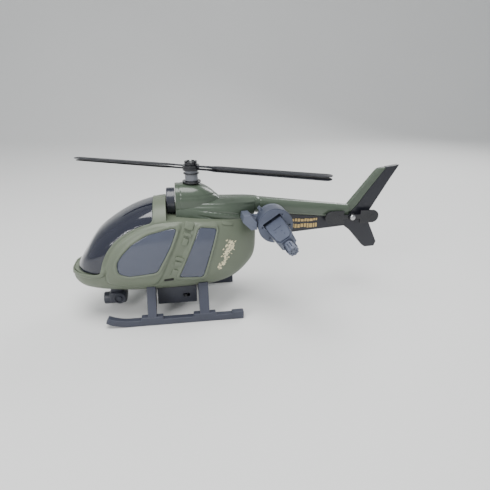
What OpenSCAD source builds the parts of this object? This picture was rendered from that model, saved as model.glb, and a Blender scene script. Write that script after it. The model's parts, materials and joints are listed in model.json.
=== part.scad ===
// Toy scout helicopter: egg-shaped cabin, folding two-bar main rotor, tail rotor
// and a swinging side gun on the port flank. Nose towards -X, port side towards -Y.
// The origin lies on the floor, under the middle of the whole model.

/* [Fuselage] */
// Wall thickness of the moulded fuselage halves
wall = 1.8; // [1.4:0.1:2.4]
// How square the fuselage cross-sections are (2 is an ellipse)
squareness = 2.6; // [2.2:0.1:3.2]
// Gap left around every part that is clipped or glued into another
fit_gap = 0.15; // [0.1:0.05:0.25]

/* [Main rotor] */
// Radius from the mast to a blade tip
rotor_r = 141; // [110:1:145]
// Width of a main rotor blade
blade_chord = 11; // [10:0.5:17]
// Thickness of a main rotor blade
blade_t = 1.2; // [1:0.1:1.6]
// Forward lean of the mast in degrees
mast_lean = 1; // [0:0.5:5]
// Heading of the lower blade pair, measured from the tail towards port
lower_heading = 29.5; // [20:0.5:60]
// How far the upper pair is turned from the lower pair when folded
fold_rest = 1; // [1:1:20]

/* [Tail] */
// Radius of the tail rotor
tail_rotor_r = 31; // [24:0.5:36]
// Thickness of the black tail frame and its fins
fin_t = 5.6; // [4:0.2:7]

/* [Landing gear] */
// Distance from the centre plane to the middle of a skid runner
skid_y = 42; // [38:1:48]
// Width of a skid runner
runner_w = 7; // [5:0.5:9]
// Height of a skid runner
runner_h = 6.6; // [5:0.2:8]

/* [Side gun] */
// Diameter of the turning drum
drum_d = 34; // [30:0.5:36]
// Distance from the centre plane to the gun's hinge pin
gun_y = 34; // [33:0.5:36]
// How far the gun is swung outwards from hanging straight down
swing_rest = 70; // [0:1:100]
// How far the drum is turned so that the muzzle leans to the rear
turn_rest = 35; // [0:1:60]
// Length from the hinge pin to the muzzle
gun_l = 46; // [44:0.5:56]

/* [Hidden] */
$fn = 48;
eps = 0.01;

olive = [0.36, 0.41, 0.27];
dark_olive = [0.25, 0.30, 0.19];
gunmetal = [0.40, 0.43, 0.48];
charcoal = [0.17, 0.18, 0.22];
gloss_black = [0.06, 0.06, 0.07];
smoke = [0.14, 0.14, 0.18, 0.8];
tint = [0.45, 0.47, 0.52, 0.5];

// Fuselage stations: x, top z, bottom z, half width
egg = [[-174.5, 52, 46, 5], [-171.5, 57, 39, 13], [-162, 72, 33, 24], [-146, 91, 29.5, 32],
    [-126, 106, 27.5, 37], [-104, 117, 26.5, 40], [-80, 123, 26.5, 41], [-55, 122, 27, 40],
    [-30, 116, 28.5, 36.5], [-8, 109, 35, 29], [8, 103, 48, 20], [17, 92, 66, 10]];
// Front stations of the windshield, set back at its foot behind the lip of the nose
screen = [[-169.5, 54, 46, 6], [-167, 60, 40, 14], [-159.5, 72.5, 33, 24],
    [-146, 91, 29.5, 32], [-126, 106, 27.5, 37], [-104, 117, 26.5, 40],
    [-80, 123, 26.5, 41], [-55, 122, 27, 40]];
// Stations of the cowl's long fairing and of the mast housing that stands on it
cowl = [[-67, 121.5, 88, 18.3], [-50, 122, 88, 20.8], [-38, 122, 87, 21.5],
    [-15, 121.8, 88, 20.5], [3, 122, 92, 15.5], [14, 121.5, 98, 10.5]];
housing = [[-67, 136.5, 100, 17.2], [-50, 137, 100, 18.2], [-40, 135.4, 101, 16.5],
    [-31, 130.5, 102, 13], [-22, 122.8, 104, 9]];
// Tail boom stations, in the same order
boom = [[14.2, 121, 104.4, 8.8], [66, 114.7, 98.5, 7.2], [121, 108.3, 93.3, 5.5]];

// Sideways shift that brings the middle of the whole model over the origin
side_shift = 3.41;

mast_x = -49.6;
mast_z = 137;
shaft_d = 5;
spigot_d = 7;
hub_d = 17;
run_gap = 0.06;
hub_h = 2.4;
lower_hub_z = 13.2;
upper_hub_z = 15.9;
cap_z = 18.6;
collar_d = 13;

tail_hub_x = 124.3;
tail_hub_z = 95.8;
tail_pin_d = 2.4;

front_strut_x = -96;
rear_strut_x = -42.6;
saddle_z = 9.6;
bend_r = 51.3;
bend_turn = 28;

drum_x = 30;
drum_z = 101.2;
face_out = 8;
drum_h = 13.8;
slot_half = 10.2;
housing_half = 9.8;
muzzle_half = 8.2;
pin_d = 3;

box_x0 = -90.5;
box_x1 = -49;
box_half = 20;
box_z = 10;
box_wall = 1.5;

// ---- smooth lofts through a list of stations ----
function spline(a, b, c, d, t) =
    0.5 * (2 * b + (c - a) * t + (2 * a - 5 * b + 4 * c - d) * t * t
    + (3 * b - a - 3 * c + d) * t * t * t);
function station(rows, u) =
    let (n = len(rows) - 1, i = min(floor(u), n - 1), t = u - i)
    spline(rows[max(i - 1, 0)], rows[i], rows[i + 1], rows[min(i + 2, n)], t);
function corner(c, e) = sign(c) * pow(abs(c), e);
function ring(row, inset, sides) =
    let (half_w = row[3] - inset, half_h = (row[1] - row[2]) / 2 - inset,
        mid = (row[1] + row[2]) / 2, e = 2 / squareness)
    [for (k = [0 : sides - 1]) let (a = 360 * (k + 0.5) / sides)
        [row[0], half_w * corner(cos(a), e), mid + half_h * corner(sin(a), e)]];

// Closed loft through the stations, pulled in by inset, from station u0 to u1
module loft(rows, inset = 0, u0 = 0, u1 = 0, steps = 30, sides = 32) {
    last = u1 == 0 ? len(rows) - 1 : u1;
    rings = [for (i = [0 : steps])
        ring(station(rows, u0 + (last - u0) * i / steps), inset, sides)];
    points = [for (r = rings) for (p = r) p];
    faces = concat(
        [[for (k = [0 : sides - 1]) k]],
        [[for (k = [sides - 1 : -1 : 0]) steps * sides + k]],
        [for (i = [0 : steps - 1]) for (k = [0 : sides - 1])
            let (a = i * sides + k, b = i * sides + (k + 1) % sides)
            [a, a + sides, b + sides]],
        [for (i = [0 : steps - 1]) for (k = [0 : sides - 1])
            let (a = i * sides + k, b = i * sides + (k + 1) % sides)
            [a, b + sides, b]]);
    polyhedron(points, faces, convexity = 4);
}

// Side outline drawn in x and z, extruded across the whole width
module across(points, half = 60) {
    rotate([90, 0, 0])
        linear_extrude(2 * half, center = true, convexity = 4) polygon(points);
}

module rod_y(d, from_y, to_y) {
    translate([0, to_y, 0]) rotate([90, 0, 0]) cylinder(d = d, h = to_y - from_y);
}

module rod_x(d, length) {
    rotate([0, 90, 0]) cylinder(d = d, h = length, center = true);
}

module box(x0, x1, half_y, z0, z1) {
    translate([x0, -half_y, z0]) cube([x1 - x0, 2 * half_y, z1 - z0]);
}

module placed() translate([0, side_shift, 0]) children();

// ---- fuselage ----
// Side outline of the windshield opening
glass_line = [[-190, 54], [-150, 54.5], [-142.5, 56], [-140, 68.5], [-133.7, 80.5],
    [-125.5, 90.2], [-114, 98], [-103, 103], [-89, 107], [-89, 145], [-190, 145]];
// Side outlines of the door window and the rear window
door_pane = [[-125.5, 57], [-126, 68], [-121, 76], [-110.5, 87], [-95.5, 96.3],
    [-73, 101.8], [-67, 101.3], [-73.8, 84], [-88, 57.5], [-116, 53.8]];
rear_pane = [[-45.4, 101], [-27.8, 98], [-42.8, 47.6], [-67, 50.1]];
// The roof steps down behind the cabin to a sloping deck that carries the cowl
step_x = -76;
deck_z = 108;
deck_fall = 0.08;
// Places of the screws that join the two fuselage halves: x and z
joint_screws = [[-136, 38], [-28, 37], [-22, 88]];

// Everything above the deck and behind the step, moved outwards by grow
module above_deck(grow = 0) {
    across([[step_x - grow, 200], [step_x - grow, deck_z - grow],
        [40, deck_z - deck_fall * (40 - step_x) - grow], [40, 200]], 80);
}

module stepped_shell() {
    difference() {
        loft(egg);
        above_deck();
        difference() {
            loft(egg, wall, 0.9, 10.8, 26, 28);
            above_deck(wall);
        }
    }
}

// Shelf behind the nose lip that the windshield's foot stands over
module nose_ledge() difference() {
    intersection() {
        loft(egg, 0.5);
        box(-175, -152, 60, 52.3, 53.8);
    }
    loft(screen, 3.5);
}

module at_joint_screws() for (p = joint_screws) translate([p[0], 0, p[1]]) children();

module fuselage_half(side) {
    inner = side > 0 ? 0 : -60;
    difference() {
        union() {
            stepped_shell();
            intersection() {
                loft(egg, 0.5);
                at_joint_screws() rod_y(6.4, inner, inner + 60);
            }
            nose_ledge();
        }
        translate([-200, side > 0 ? -80 : 0, 0]) cube([260, 80, 160]);
        across(glass_line);
        across(door_pane);
        across(rear_pane);
        at_joint_screws() rod_y(2.1, -10, 30);
        if (side > 0) at_joint_screws() rod_y(4.4, 20, 60);
    }
}

module fuselage_port() color(olive) placed() fuselage_half(-1);

module fuselage_starboard() color(olive) placed() fuselage_half(1);

module windshield() color(smoke) placed() intersection() {
    difference() {
        loft(screen);
        loft(screen, wall, 0.5, 7, 26, 28);
    }
    rotate([90, 0, 0]) linear_extrude(120, center = true)
        offset(delta = -fit_gap) polygon(glass_line);
}

module pane(points, side) {
    intersection() {
        difference() {
            loft(egg, 0.3);
            loft(egg, wall - 0.2, 0.9, 10.8, 26, 28);
        }
        rotate([90, 0, 0]) linear_extrude(60 * 2, center = true)
            offset(delta = -fit_gap) polygon(points);
        translate([-200, side > 0 ? 0 : -60, 0]) cube([260, 60, 160]);
    }
}

module door_window_port() color(tint) placed() pane(door_pane, -1);

module door_window_starboard() color(tint) placed() pane(door_pane, 1);

module rear_window_port() color(tint) placed() pane(rear_pane, -1);

module rear_window_starboard() color(tint) placed() pane(rear_pane, 1);

module cabin_floor() color(charcoal) placed() intersection() {
    loft(egg, wall + 0.4, 1, 10.5, 20, 28);
    box(-148, -14, 60, 43, 45);
}

module seat(x, y, width) {
    translate([x, y, 45 + fit_gap]) {
        translate([-8, -width / 2, 0]) cube([17, width, 7]);
        translate([7.5, -width / 2, 1]) rotate([0, 12, 0]) cube([4.5, width, 30]);
    }
}

module pilot_seats() color(charcoal) placed() {
    seat(-98, 14, 18);
    seat(-98, -14, 18);
}

module rear_bench() color(charcoal) placed() seat(-50, 0, 46);

module instrument_panel() color(charcoal) placed() translate([-139, 0, 45 + fit_gap]) {
    box(-3, 4, 6, 0, 8);
    translate([-3, -14, 7]) rotate([0, -15, 0]) cube([6, 28, 13]);
}

// ---- cowl and tail ----
module engine_cowl() color(dark_olive) placed() difference() {
    intersection() {
        union() {
            loft(cowl, 0, 0, 0, 14, 32);
            loft(housing, 0, 0, 0, 12, 32);
        }
        above_deck(-fit_gap);
    }
    loft(cowl, wall, 0.12, 4.9, 12, 28);
    loft(housing, wall, 0.12, 3.8, 10, 28);
    on_mast() translate([0, 0, -10]) cylinder(d = 9.4, h = 20);
}

module intake_grille() color(charcoal) placed() translate([-71.6, 0, 121.9]) difference() {
    rod_x(27.2, 8.4);
    translate([-4, 0, 0]) rod_x(23, 5);
}

// Side outline of the olive strip that runs up the front of the fin
fin_strip = [[112, 106.5], [119.5, 107], [147.5, 143.5], [151, 147.4], [160, 149],
    [140.9, 122.4], [130.2, 106.2], [124.6, 100.4], [121, 97.6], [112, 98]];
// Side outline of the black strake, the lower fin and the rear of the upper fin
frame_line = [[32, 101.7], [66, 98.2], [121.3, 93], [121.3, 97.3], [124.9, 100.2], [130.6, 106],
    [141.2, 122.2], [160.3, 149], [174.5, 151.5], [165.6, 136.2], [156.6, 119.2],
    [146.8, 101.4], [147, 88], [159.8, 62.8], [157.8, 57.4], [147, 56.8], [143.6, 58.6],
    [126.4, 77.7], [118, 84], [32, 77]];

// Places along the boom of the screws that hold the tail frame up against it
frame_screws = [48, 96];

module tail_boom() color(dark_olive) placed() difference() {
    union() {
        difference() {
            loft(boom, 0, 0, 0, 10, 28);
            loft(boom, 1.4, 0.02, 1.7, 8, 24);
        }
        intersection() {
            loft(boom, 0.3, 0, 0, 10, 28);
            for (x = frame_screws) translate([x, 0, 90]) cylinder(d = 5, h = 15);
        }
        across(fin_strip, fin_t / 2);
    }
    for (x = frame_screws) translate([x, 0, 80]) cylinder(d = 2.1, h = 22);
}

module tail_frame() color(charcoal) placed() difference() {
    union() {
        across(frame_line, fin_t / 2);
        translate([tail_hub_x, 0, tail_hub_z])
            rod_y(5.6, -fin_t / 2 - 2, 0);
    }
    translate([tail_hub_x, 0, tail_hub_z]) rod_y(tail_pin_d, -20, 20);
    for (x = frame_screws) translate([x, 0, 70]) {
        cylinder(d = 2.1, h = 40);
        cylinder(d = 4.2, h = 18);
    }
}

module tail_place() translate([tail_hub_x, 0, tail_hub_z]) children();

module tail_rotor() color(gloss_black) placed() tail_place() difference() {
    union() {
        rod_y(8, -11.2, -5.2);
        for (side = [0, 180]) rotate([0, side, 0]) {
            translate([0, -9.2, -2.6]) cube([12, 1.8, 5.2]);
            translate([9.5, -9.2, -7.2]) cube([tail_rotor_r - 16.7, 1.8, 14.4]);
            translate([tail_rotor_r - 7.2, 0, 0]) rod_y(14.4, -9.2, -7.4);
        }
    }
    rod_y(tail_pin_d + 2 * run_gap, -10, -5);
}

module tail_rotor_pin() color(gunmetal) placed() tail_place()
    rod_y(tail_pin_d, -9.8, fin_t / 2);

// ---- main rotor ----
module on_mast() translate([mast_x, 0, mast_z]) rotate([0, -mast_lean, 0]) children();

module mast_bearing() color(gloss_black) placed() on_mast() difference() {
    union() {
        cylinder(d = 9, h = 2);
        translate([0, 0, -30]) cylinder(d = 9, h = 32);
        translate([0, 0, 0.6]) cylinder(d = 19, h = 1.6);
    }
    translate([0, 0, -26]) cylinder(d = shaft_d + 2 * run_gap, h = 40);
}

module rotor_mast() color(gunmetal) placed() on_mast() {
    translate([0, 0, -25]) cylinder(d = shaft_d, h = 28);
    translate([0, 0, 2.5]) cylinder(d = collar_d, h = lower_hub_z - 2.5);
    translate([0, 0, 12]) cylinder(d = spigot_d, h = cap_z + 1.6 - 12);
}

// Thin disc round the mast's collar
module mast_washer() color(gloss_black) placed() on_mast() translate([0, 0, 9.4]) difference() {
    cylinder(d = 16, h = 1.1);
    translate([0, 0, -1]) cylinder(d = collar_d, h = 3);
}

module hub(z, bore) {
    on_mast() translate([0, 0, z]) difference() {
        cylinder(d = hub_d, h = hub_h);
        translate([0, 0, -1]) cylinder(d = bore, h = hub_h + 2);
        children();
    }
}

module root_slots(heading) rotate([0, 0, heading]) for (side = [-1, 1])
    translate([side * 7.5, 0, hub_h / 2]) cube([6, 5.3, blade_t + 0.2], center = true);

module lower_rotor_hub() color(gloss_black) placed()
    hub(lower_hub_z, spigot_d) root_slots(-lower_heading);

module upper_rotor_hub() color(gloss_black) placed()
    hub(upper_hub_z, spigot_d + 2 * run_gap) root_slots(fold_rest - lower_heading);

// One blade with its root in the hub's slot, a narrow neck and a round tip
module blade(z, heading) on_mast() translate([0, 0, z + hub_h / 2])
    rotate([0, 0, heading]) {
        translate([4.7, -2.5, -blade_t / 2]) cube([14, 5, blade_t]);
        rotate([3, 0, 0]) translate([0, 0, -blade_t / 2]) {
            linear_extrude(blade_t) polygon([[18, -2.5], [28, -blade_chord / 2],
                [rotor_r - blade_chord / 2, -blade_chord / 2],
                [rotor_r - blade_chord / 2, blade_chord / 2], [28, blade_chord / 2],
                [18, 2.5]]);
            translate([rotor_r - blade_chord / 2, 0, 0])
                cylinder(d = blade_chord, h = blade_t);
        }
    }

module rotor_blade_1() color(gloss_black) placed() blade(lower_hub_z, -lower_heading);

module rotor_blade_2() color(gloss_black) placed() blade(lower_hub_z, 180 - lower_heading);

module rotor_blade_3() color(gloss_black) placed() blade(upper_hub_z, fold_rest - lower_heading);

module rotor_blade_4() color(gloss_black) placed()
    blade(upper_hub_z, 180 + fold_rest - lower_heading);

module rotor_cap() color(gloss_black) placed() on_mast() translate([0, 0, cap_z]) difference() {
    cylinder(d = 12.8, h = 3.4);
    translate([0, 0, -1]) cylinder(d = spigot_d, h = 2.7);
    translate([0, 0, 2.5]) cylinder(d = 8.4, h = 3);
    for (k = [0 : 7]) rotate([0, 0, 45 * k])
        translate([5.6, 0, 3.5]) cube([4.4, 1.9, 2.2], center = true);
}

// ---- nose pod ----
pod_z = 11.2;

module nose_pod() color(charcoal) placed() difference() {
    union() {
        box(-142, -124, 10, 8.4, 22.4);
        box(-140, -128, 7, 22, 45);
        translate([-144.5, 0, pod_z]) rod_x(13.4, 8);
        translate([-131, 0, 15.7]) rod_y(12.6, -12.6, 12.6);
    }
    translate([-147, 0, pod_z]) rod_x(10.6, 4.4);
    translate([-142, 0, pod_z]) rod_x(5, 8);
    for (side = [-1, 1]) translate([-131, side * 12.6, 15.7]) difference() {
        rod_y(9.4, -1.2, 1.2);
        rod_y(4.6, -1.3, 1.3);
    }
    loft(egg, -fit_gap);
}

module pod_lens() color(smoke) placed()
    translate([-147.3, 0, pod_z]) rod_x(10.6 - 2 * fit_gap, 1.8);

module pod_lamp() color("ivory") placed() translate([-141, 0, pod_z]) {
    rod_x(5, 5);
    translate([-2.5, 0, 0]) sphere(d = 5, $fn = 24);
}

// ---- sound box under the belly ----
module sound_box() color(charcoal) placed() difference() {
    box(box_x0, box_x1, box_half, box_z, 36);
    box(box_x0 + box_wall, box_x1 - box_wall, box_half - box_wall, box_z - 1, 25.2);
    loft(egg, -fit_gap);
    translate([-60, -box_half, 19]) cube([7, 8, 3.4], center = true);
}

module battery_door() color(charcoal) placed() difference() {
    box(box_x0 + box_wall + fit_gap, box_x1 - box_wall - fit_gap,
        box_half - box_wall - fit_gap, box_z, box_z + 2);
    translate([-82, 0, box_z - 1]) cylinder(d = 2.2, h = 4);
    for (k = [-2 : 2]) for (j = [-1 : 1])
        translate([-62 + 4 * j, 4 * k, box_z - 1]) cylinder(d = 1.8, h = 4, $fn = 24);
}

module button_cells() color("silver") placed() for (k = [-1 : 1])
    translate([-79, 12 * k, box_z + 3.6]) cylinder(d = 11.6, h = 5.4);

module battery_contacts() color("gold") placed() for (k = [-1 : 1]) {
    translate([-81, 12 * k - 2, box_z + 2.4]) cube([8, 4, 0.4]);
    translate([-83, 12 * k - 2, box_z + 9.5]) cube([10, 4, 0.4]);
}

module speaker() color("dimgray") placed() translate([-61.5, 1, box_z + 2.4]) {
    cylinder(d = 17, h = 1.2);
    translate([0, 0, 1.2 - eps]) cylinder(d = 9, h = 3);
}

module circuit_board() color("darkgreen") placed() {
    box(box_x0 + box_wall + 0.5, box_x1 - box_wall - 0.5, 17, box_z + 12.2, box_z + 13.4);
    translate([-74, 0, box_z + 13.3]) cylinder(d = 8, h = 1.2);
}

module power_switch() color(gloss_black) placed() {
    translate([-61, 0.1 - box_half, 19]) cube([3, 4.2, 2.6], center = true);
    translate([-61, -box_half + 2.6, 19]) cube([4.4, 1.2, 5], center = true);
}

// ---- landing gear ----
// Side outline of a runner: straight, with its front end bent upwards
function bend_point(r, turn) = [-118 - r * sin(turn), bend_r - r * cos(turn)];
runner_line = concat([[-1.5, 0]],
    [for (k = [0 : 7]) bend_point(bend_r, bend_turn * k / 7)],
    [for (k = [7 : -1 : 0]) bend_point(bend_r - runner_h, bend_turn * k / 7)],
    [[-1.5, runner_h]]);

module skid(side) translate([0, side * skid_y, 0]) {
    across(runner_line, runner_w / 2);
    box(-14, -1.5, runner_w / 2, runner_h - eps, runner_h + 1.9);
    box(-107, -85, runner_w / 2, runner_h - eps, saddle_z);
    box(-54, -31, runner_w / 2, runner_h - eps, saddle_z);
}

module skid_port() color(charcoal) placed() skid(-1);

module skid_starboard() color(charcoal) placed() skid(1);

module strut(x, width) difference() {
    translate([x - width / 2, 0, 0]) rotate([90, 0, 90]) linear_extrude(width)
        polygon([[-skid_y - 3.3, saddle_z], [-skid_y + 3.3, saddle_z], [-21, 22.5],
            [21, 22.5], [skid_y - 3.3, saddle_z], [skid_y + 3.3, saddle_z], [31, 38],
            [-31, 38]]);
    loft(egg, -fit_gap);
}

module front_strut() color(charcoal) placed() strut(front_strut_x, 9);

module rear_strut() color(charcoal) placed() strut(rear_strut_x, 10);

// ---- side gun ----
module at_drum() translate([drum_x, -gun_y, drum_z]) children();

module at_gun() at_drum() rotate([0, -turn_rest, 0]) rotate([-swing_rest, 0, 0])
    children();

// Six-sided block on the bracket, leaning forwards at its top
module bracket_lobe() translate([5.8, -18, 103.4]) rotate([90, 0, 0]) linear_extrude(18)
    polygon([[-7.2, 7.2], [-0.6, 7.5], [7.6, -1], [7.4, -7.2], [0.6, -7.6], [-8, 0.8]]);

module gun_bracket() color(gunmetal) placed() difference() {
    union() {
        at_drum() rod_y(34, 8, 13);
        at_drum() rotate([0, 45, 0]) translate([-20.5, 8, -1.6]) cube([9, 5, 3.2]);
        translate([22, -22, 97.5]) cube([18, 14, 10.5]);
        bracket_lobe();
        translate([5, -26, 98]) cube([12, 5, 10]);
    }
    at_drum() rod_y(8 + 2 * run_gap, -10, 40);
    at_drum() rod_y(drum_d + 2.5, -20, 8);
    loft(boom, -fit_gap, 0, 0, 10, 28);
    loft(cowl, -fit_gap, 0, 0, 14, 32);
    loft(egg, -fit_gap);
}

module gun_drum() color(gunmetal) placed() at_drum() rotate([0, -turn_rest, 0]) difference() {
    union() {
        rod_y(drum_d, -face_out, 7.7);
        rod_y(drum_d + 1.5, -face_out + 1, -face_out + 2.6);
        rod_y(8, 7, 24);
    }
    translate([-slot_half, -20, -30]) cube([2 * slot_half, 26.6, 39.3]);
    rod_x(pin_d, 27);
    for (a = [-60, -20, 20, 60, 120, 240]) rotate([0, a + 90, 0])
        translate([13.6, 0, 0]) rod_y(2, -face_out - 1, -face_out + 1.4);
}

module gun_hinge_pin() color("silver") placed() at_drum() rotate([0, -turn_rest, 0])
    rod_x(pin_d, 26.6);

// Outline of the housing's broad face, pulled in by inset, from the pin to the muzzle end
module housing_face(inset, z0, z1) polygon([[-housing_half + inset, z0],
    [-housing_half + inset, -14], [-muzzle_half + inset, z1 + 3], [-muzzle_half + 3, z1],
    [muzzle_half - 3, z1], [muzzle_half - inset, z1 + 3], [housing_half - inset, -14],
    [housing_half - inset, z0]]);

module gun_housing() color(gunmetal) placed() at_gun() difference() {
    union() {
        rod_x(12, 2 * housing_half);
        translate([0, 6, 0]) rotate([90, 0, 0]) linear_extrude(12) housing_face(0, 0, -33.6);
        shroud();
    }
    rod_x(pin_d + 2 * run_gap, 30);
    translate([0, -3.2, 0]) rotate([90, 0, 0]) linear_extrude(4) housing_face(0.7, -4, -32.7);
    translate([0, 0, -40]) cylinder(d = 3 + 2 * run_gap, h = 13.4);
}

// Half-round guard under the barrels
module shroud() difference() {
    translate([0, 0, -41.5]) cylinder(d = 12, h = 9);
    translate([0, 0, -42]) cylinder(d = 10.4, h = 9);
    translate([-10, -10, -43]) cube([20, 11, 12]);
}

module gun_press_plate() color(gunmetal) placed() at_gun() difference() {
    translate([0, -4.6, 0]) rotate([90, 0, 0]) linear_extrude(3)
        housing_face(0.85, -4.2, -32.5);
    translate([-4.5, -7.8, -16]) cube([9, 0.7, 0.7]);
    for (p = [[-4, -20], [2, -22], [3, -27]])
        translate([p[0], 0, p[1]]) rod_y(1.4, -8, -7.1);
}

module plate_spring() color("silver") placed() at_gun() rotate([0, 90, 0])
    linear_extrude(6, center = true)
        polygon([[8, -3.2], [26, -3.2], [26, -3.22], [25, -3.35], [17, -3.5], [9, -3.35],
            [8, -3.22]]);

module gun_barrels() color(gunmetal) placed() at_gun() difference() {
    union() {
        translate([0, 0, -36.4]) cylinder(d = 3, h = 9.4);
        translate([0, 0, -36.4]) cylinder(d = 8.6, h = 2.4);
        for (k = [0 : 7]) rotate([0, 0, 45 * k])
            translate([3.4, 0, -gun_l + 1]) cylinder(d = 2.3, h = gun_l - 36.4, $fn = 24);
        translate([0, 0, -gun_l]) cylinder(d = 9.4, h = 3.4);
        for (k = [0 : 7]) rotate([0, 0, 45 * k])
            translate([4.4, 0, -gun_l]) cylinder(d = 1.9, h = 3, $fn = 16);
    }
    for (k = [0 : 5]) rotate([0, 0, 60 * k])
        translate([2.7, 0, -gun_l - 1]) cylinder(d = 1.5, h = 4, $fn = 16);
}

// ---- fasteners ----
// Screws that hold the black tail frame up, and those that join the fuselage halves
module body_screws() color("silver") placed() {
    for (x = frame_screws) translate([x, 0, 87.9]) {
        cylinder(d = 2, h = 13.4);
        translate([0, 0, -1.4]) cylinder(d = 3.8, h = 1.4);
    }
    at_joint_screws() {
        rod_y(2, -9.5, 20.2);
        rod_y(4, 20.1, 21.6);
    }
}

module battery_door_screw() color("silver") placed() translate([-82, 0, box_z]) {
    cylinder(d = 2, h = 2.3);
    difference() {
        translate([0, 0, -1.2]) cylinder(d = 3.6, h = 1.2);
        translate([0, 0, -1.2]) cube([3, 0.6, 0.8], center = true);
        translate([0, 0, -1.2]) cube([0.6, 3, 0.8], center = true);
    }
}

fuselage_port();
fuselage_starboard();
windshield();
door_window_port();
door_window_starboard();
rear_window_port();
rear_window_starboard();
cabin_floor();
pilot_seats();
rear_bench();
instrument_panel();
engine_cowl();
intake_grille();
tail_boom();
tail_frame();
mast_bearing();
rotor_mast();
mast_washer();
lower_rotor_hub();
upper_rotor_hub();
rotor_blade_1();
rotor_blade_2();
rotor_blade_3();
rotor_blade_4();
rotor_cap();
tail_rotor();
tail_rotor_pin();
nose_pod();
pod_lens();
pod_lamp();
sound_box();
battery_door();
button_cells();
battery_contacts();
speaker();
circuit_board();
power_switch();
skid_port();
skid_starboard();
front_strut();
rear_strut();
gun_bracket();
gun_drum();
gun_hinge_pin();
gun_housing();
gun_press_plate();
plate_spring();
gun_barrels();
body_screws();
battery_door_screw();
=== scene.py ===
"""Looks of the toy scout helicopter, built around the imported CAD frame.

Lengths in the tables below are in millimetres, measured from the fuselage's centre
plane: nose towards -X, port side towards -Y, floor at z = 0. That plane lies SIDE
millimetres to starboard of the part's origin, and piece() adds it.
"""

import json
import math

import bmesh
import bpy
import numpy as np
from mathutils import Matrix, Vector


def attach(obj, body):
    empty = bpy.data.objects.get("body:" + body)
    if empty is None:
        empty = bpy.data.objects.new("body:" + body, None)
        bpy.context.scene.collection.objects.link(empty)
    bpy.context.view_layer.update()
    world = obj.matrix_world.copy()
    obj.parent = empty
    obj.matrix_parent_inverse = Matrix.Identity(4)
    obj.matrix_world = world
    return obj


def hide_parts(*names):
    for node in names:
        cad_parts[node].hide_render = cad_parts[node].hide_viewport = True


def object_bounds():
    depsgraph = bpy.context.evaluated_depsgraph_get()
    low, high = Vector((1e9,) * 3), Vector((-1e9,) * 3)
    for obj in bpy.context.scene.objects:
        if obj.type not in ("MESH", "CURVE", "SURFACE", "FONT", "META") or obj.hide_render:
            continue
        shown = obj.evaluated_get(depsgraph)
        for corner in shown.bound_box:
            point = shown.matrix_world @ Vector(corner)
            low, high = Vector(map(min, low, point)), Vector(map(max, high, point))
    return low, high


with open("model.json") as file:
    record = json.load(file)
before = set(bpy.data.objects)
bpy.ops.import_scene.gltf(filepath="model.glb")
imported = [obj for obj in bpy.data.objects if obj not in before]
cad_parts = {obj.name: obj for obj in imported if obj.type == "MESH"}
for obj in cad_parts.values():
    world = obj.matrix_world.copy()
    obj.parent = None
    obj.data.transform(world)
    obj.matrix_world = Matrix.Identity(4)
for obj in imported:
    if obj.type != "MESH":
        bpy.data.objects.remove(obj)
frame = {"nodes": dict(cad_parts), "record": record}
CAD_BOX = [list(corner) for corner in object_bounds()]
MM = 0.001
SIDE = 3.41
NODES = frame["nodes"]


# ---------------------------------------------------------------- materials
def linear(rgb):
    """sRGB 0-255 to linear."""
    return [((c / 255 + 0.055) / 1.055) ** 2.4 if c > 10.3 else c / 255 / 12.92 for c in rgb]


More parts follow.
